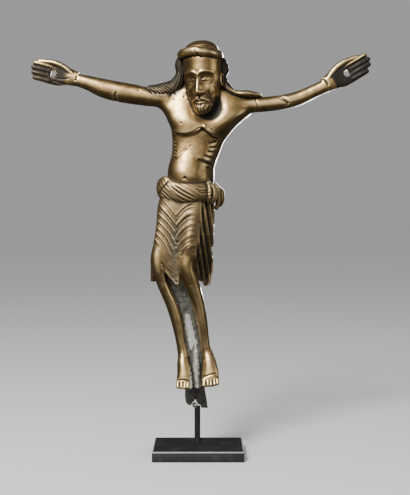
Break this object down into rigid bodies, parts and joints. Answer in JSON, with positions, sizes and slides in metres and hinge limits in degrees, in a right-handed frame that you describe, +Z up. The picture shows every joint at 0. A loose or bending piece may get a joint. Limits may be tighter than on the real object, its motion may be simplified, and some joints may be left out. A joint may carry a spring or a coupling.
{
  "type": "christ figure",
  "caption": "Cast crucified figure with outstretched arms, rolled headband and knee-length loincloth, held upright by a rod on a black foot plate.",
  "frame": {"origin": "on the foot plate's underside, within 1 mm of its middle", "axes": "+Z up along the figure, the figure faces -Y, +X to the viewer's right"},
  "size_m": [0.1701, 0.0325, 0.2088],
  "materials": {
    "bronze": "worn golden-brown copper alloy, satin, dark in its recesses",
    "black_steel": "satin black"
  },
  "bodies": {
    "root": {"christ_figure": "bronze", "stand_rod": "black_steel", "stand_plate": "black_steel"}
  },
  "joints": []
}
